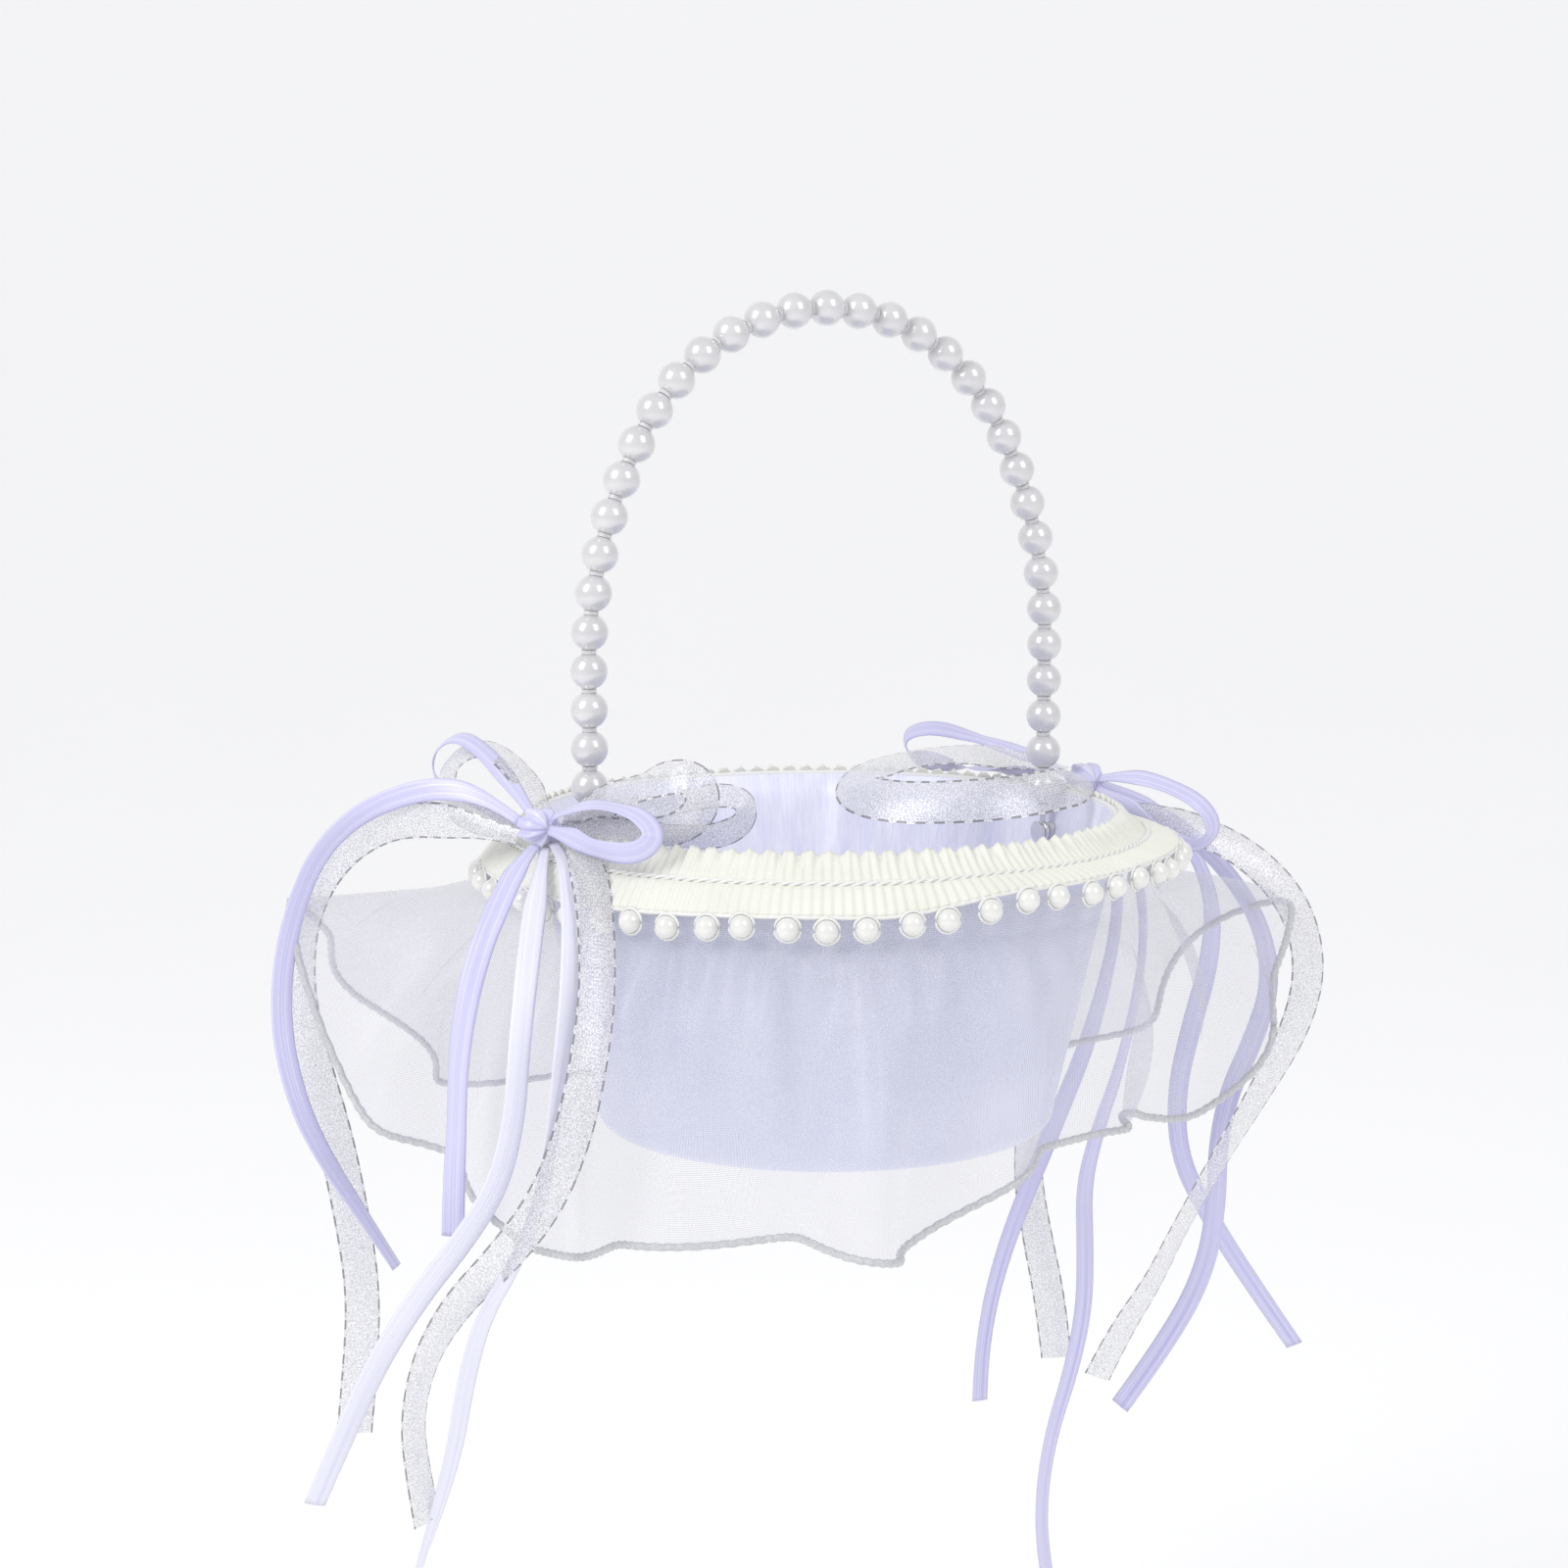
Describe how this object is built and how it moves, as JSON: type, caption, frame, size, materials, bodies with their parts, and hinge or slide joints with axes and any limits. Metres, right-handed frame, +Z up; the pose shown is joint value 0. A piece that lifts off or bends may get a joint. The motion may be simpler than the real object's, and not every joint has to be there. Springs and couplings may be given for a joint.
{
  "type": "flower girl basket",
  "caption": "Small round satin basket with a pearl-strung arch handle that swings at its feet, an ivory braid rim, a sheer flared ruffle and ribbon bows at both feet.",
  "frame": {"origin": "centre of the handle's wire at the top of the arch, where a hand holds it", "axes": "+Z up; the arch stands in the XZ plane with a foot at each end of X; the pivots' axis is along X"},
  "size_m": [0.3229, 0.2223, 0.4152],
  "materials": {
    "wire": "plain bright wire",
    "clear_plastic": "translucent moulded",
    "grey_pearl": "silver grey pearl lacquer",
    "white_pearl": "white pearl lacquer",
    "white_thread": "twisted thread",
    "ivory_braid": "ribbed gimp braid",
    "card": "moulded card",
    "lavender_satin": "white satin with a lavender cast",
    "organza": "sheer plain-weave organza",
    "satin_ribbon": "glossy lavender satin ribbon",
    "silver_organza_ribbon": "sheer ribbon with metallic thread"
  },
  "bodies": {
    "handle": {"handle_wire": "wire", "handle_pearls": "grey_pearl", "pearl_spacers": "clear_plastic", "crimp_left": "wire", "crimp_right": "wire"},
    "basket": {"basket_shell": "card", "base_board": "card", "satin_lining": "lavender_satin", "satin_cover": "lavender_satin", "rim_hoop": "wire", "rim_braid": "ivory_braid", "braid_cord": "white_thread", "trim_pearls": "white_pearl", "trim_thread": "white_thread", "organza_ruffle": "organza", "foot_rivet_left": "wire", "foot_rivet_right": "wire", "foot_bush_left": "clear_plastic", "foot_bush_right": "clear_plastic", "bow_knot_left": "satin_ribbon", "bow_knot_right": "satin_ribbon", "satin_tail_left_1": "satin_ribbon", "satin_tail_left_2": "satin_ribbon", "satin_tail_left_3": "satin_ribbon", "satin_tail_left_4": "satin_ribbon", "organza_tail_left_1": "silver_organza_ribbon", "organza_tail_left_2": "silver_organza_ribbon", "satin_loop_left_1": "satin_ribbon", "satin_loop_left_2": "satin_ribbon", "organza_loop_left_1": "silver_organza_ribbon", "organza_loop_left_2": "silver_organza_ribbon", "organza_loop_left_3": "silver_organza_ribbon", "satin_tail_right_1": "satin_ribbon", "satin_tail_right_2": "satin_ribbon", "satin_tail_right_3": "satin_ribbon", "satin_tail_right_4": "satin_ribbon", "organza_tail_right_1": "silver_organza_ribbon", "organza_tail_right_2": "silver_organza_ribbon", "satin_loop_right_1": "satin_ribbon", "satin_loop_right_2": "satin_ribbon", "organza_loop_right_1": "silver_organza_ribbon"}
  },
  "joints": [
    {"name": "handle_swing", "type": "hinge", "parent": "handle", "child": "basket", "pos_m": [0, 0, -0.15], "axis": [1, 0, 0], "range_deg": [-20, 20]}
  ]
}
